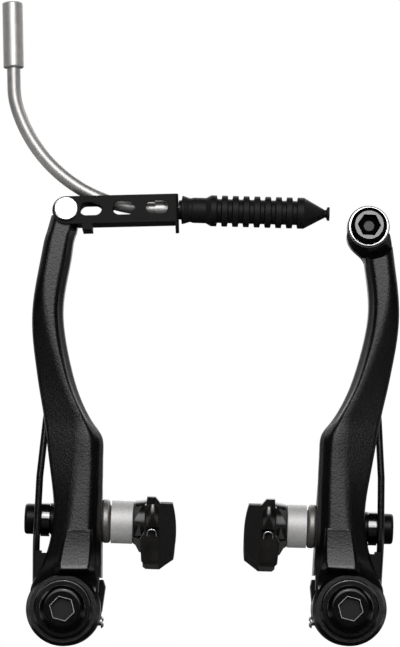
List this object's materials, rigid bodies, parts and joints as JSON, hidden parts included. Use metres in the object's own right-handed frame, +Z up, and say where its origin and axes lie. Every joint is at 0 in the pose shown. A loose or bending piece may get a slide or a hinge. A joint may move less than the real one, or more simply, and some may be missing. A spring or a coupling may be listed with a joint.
{
  "type": "bicycle linear-pull rim brake",
  "caption": "Two long pivoting arms with brake shoes, return springs, a folded cable link, a bent lead pipe and a ribbed boot.",
  "frame": {"origin": "midway between the two pivot axes, on the plane where the spring cases meet the frame", "axes": "+X to the right as seen from the front, +Y back into the frame along the pivots, +Z up from the pivots to the cable"},
  "size_m": [0.1125, 0.0719, 0.1823],
  "materials": {
    "arm_paint": "satin dark grey paint",
    "black_plastic": "matt",
    "steel": "satin",
    "bright_steel": "polished",
    "black_steel": "black",
    "grey_washer": "satin dark grey",
    "silver_spacer": "satin",
    "holder": "glossy",
    "pad_rubber": "matt",
    "link_sheet": "satin black",
    "boot_rubber": "matt"
  },
  "bodies": {
    "frame_side": {"left_spring_case": "black_plastic", "left_pivot_bush": "steel", "left_pivot_washer": "black_steel", "left_pivot_bolt": "black_steel", "left_stop_pin": "steel", "left_tension_screw": "steel", "right_spring_case": "black_plastic", "right_pivot_bush": "steel", "right_pivot_washer": "black_steel", "right_pivot_bolt": "black_steel", "right_stop_pin": "steel", "right_tension_screw": "steel"},
    "left_arm": {"left_arm": "arm_paint", "left_return_spring": "black_steel", "left_spring_peg": "steel", "left_spring_guide": "black_plastic", "left_inner_dome_washer": "grey_washer", "left_inner_cup_spacer": "silver_spacer", "left_outer_dome_washer": "black_steel", "left_outer_cup_washer": "black_steel", "left_shoe_nut": "black_steel", "left_shoe_stud": "steel", "left_shoe_holder": "holder", "left_brake_pad": "pad_rubber", "left_pad_pin": "steel"},
    "right_arm": {"right_arm": "arm_paint", "right_return_spring": "black_steel", "right_spring_peg": "steel", "right_spring_guide": "black_plastic", "right_inner_dome_washer": "grey_washer", "right_inner_cup_spacer": "silver_spacer", "right_outer_dome_washer": "black_steel", "right_outer_cup_washer": "black_steel", "right_shoe_nut": "black_steel", "right_shoe_stud": "steel", "right_shoe_holder": "holder", "right_brake_pad": "pad_rubber", "right_pad_pin": "steel", "anchor_washer": "bright_steel", "anchor_bolt": "black_steel"},
    "cable_link": {"link": "link_sheet", "link_pin": "bright_steel", "lead_pipe": "bright_steel", "lead_pipe_liner": "black_plastic", "lead_pipe_ferrule": "silver_spacer", "lead_pipe_nose": "bright_steel", "boot": "boot_rubber"}
  },
  "joints": [
    {"name": "left_arm_pivot", "type": "hinge", "parent": "frame_side", "child": "left_arm", "pos_m": [-0.04, 0, 0], "axis": [0, 1, 0], "range_deg": [-18, 1], "stiffness_Nm_per_rad": 3},
    {"name": "right_arm_pivot", "type": "hinge", "parent": "frame_side", "child": "right_arm", "pos_m": [0.04, 0, 0], "axis": [0, 1, 0], "range_deg": [-1, 18], "stiffness_Nm_per_rad": 3},
    {"name": "link_pivot", "type": "hinge", "parent": "left_arm", "child": "cable_link", "pos_m": [-0.0394, -0.0145, 0.1119], "axis": [0, 1, 0], "range_deg": [-40, 12]}
  ]
}
